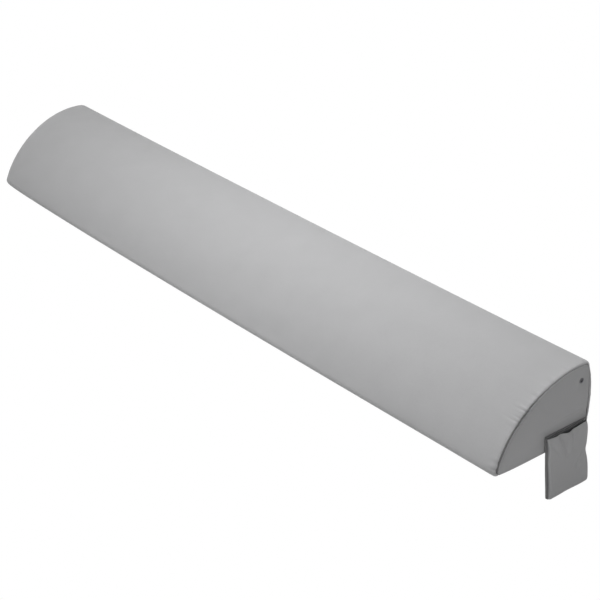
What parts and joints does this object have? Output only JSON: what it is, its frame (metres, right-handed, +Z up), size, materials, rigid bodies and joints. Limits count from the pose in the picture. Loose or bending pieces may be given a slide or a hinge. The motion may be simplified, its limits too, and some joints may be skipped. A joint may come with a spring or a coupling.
{
  "type": "wedge bolster pillow",
  "caption": "Long wedge bolster pillow with a domed front, flat base, upright back, zipped knit cover over a foam core, and a hanging side pocket at one end.",
  "frame": {"origin": "middle of the flat base, on the base plane", "axes": "+X along the pillow towards the end with the pocket, +Y out of the upright back, +Z up"},
  "size_m": [1.848, 0.2659, 0.2715],
  "materials": {
    "cover_knit": "smooth mid-grey brushed knit",
    "foam": "open-cell cream foam",
    "lining": "thin white knit",
    "thread": "dark grey polyester thread",
    "zip_tape": "grey herringbone tape",
    "zip_coil": "dark grey nylon",
    "gunmetal": "dark satin metal",
    "label": "white satin tape"
  },
  "bodies": {
    "cushion": {"foam_core": "foam", "liner_sleeve": "lining", "liner_end_near": "lining", "liner_end_far": "lining", "crown_panel": "cover_knit", "base_panel": "cover_knit", "back_panel_upper": "cover_knit", "back_panel_lower": "cover_knit", "end_panel_near": "cover_knit", "end_panel_far": "cover_knit", "front_seam": "thread", "top_seam": "thread", "heel_seam": "thread", "end_seam_near": "thread", "end_seam_far": "thread", "zip_tape_upper": "zip_tape", "zip_tape_lower": "zip_tape", "zip_coil_upper": "zip_coil", "zip_coil_lower": "zip_coil", "zip_top_stop_upper": "gunmetal", "zip_top_stop_lower": "gunmetal", "zip_bottom_stop": "gunmetal", "pocket_top_seam": "thread", "vent_eyelet": "gunmetal", "vent_washer": "gunmetal", "care_label": "label"},
    "pocket": {"pocket_back": "cover_knit", "pocket_front": "cover_knit", "pocket_edge_seam": "thread"},
    "slider": {"zip_slider": "gunmetal"},
    "pull": {"zip_pull": "gunmetal"}
  },
  "joints": [
    {"name": "pocket_swing", "type": "hinge", "parent": "cushion", "child": "pocket", "pos_m": [0.91545, 0.065, 0.034], "axis": [0, -1, 0], "range_deg": [0, 85]},
    {"name": "zip_slide", "type": "slide", "parent": "cushion", "child": "slider", "axis": [-1, 0, 0], "range_m": [0, 1.77]},
    {"name": "pull_flip", "type": "hinge", "parent": "slider", "child": "pull", "pos_m": [0.88595, 0.1372, 0.08182], "axis": [0, 0, -1], "range_deg": [0, 180]}
  ]
}
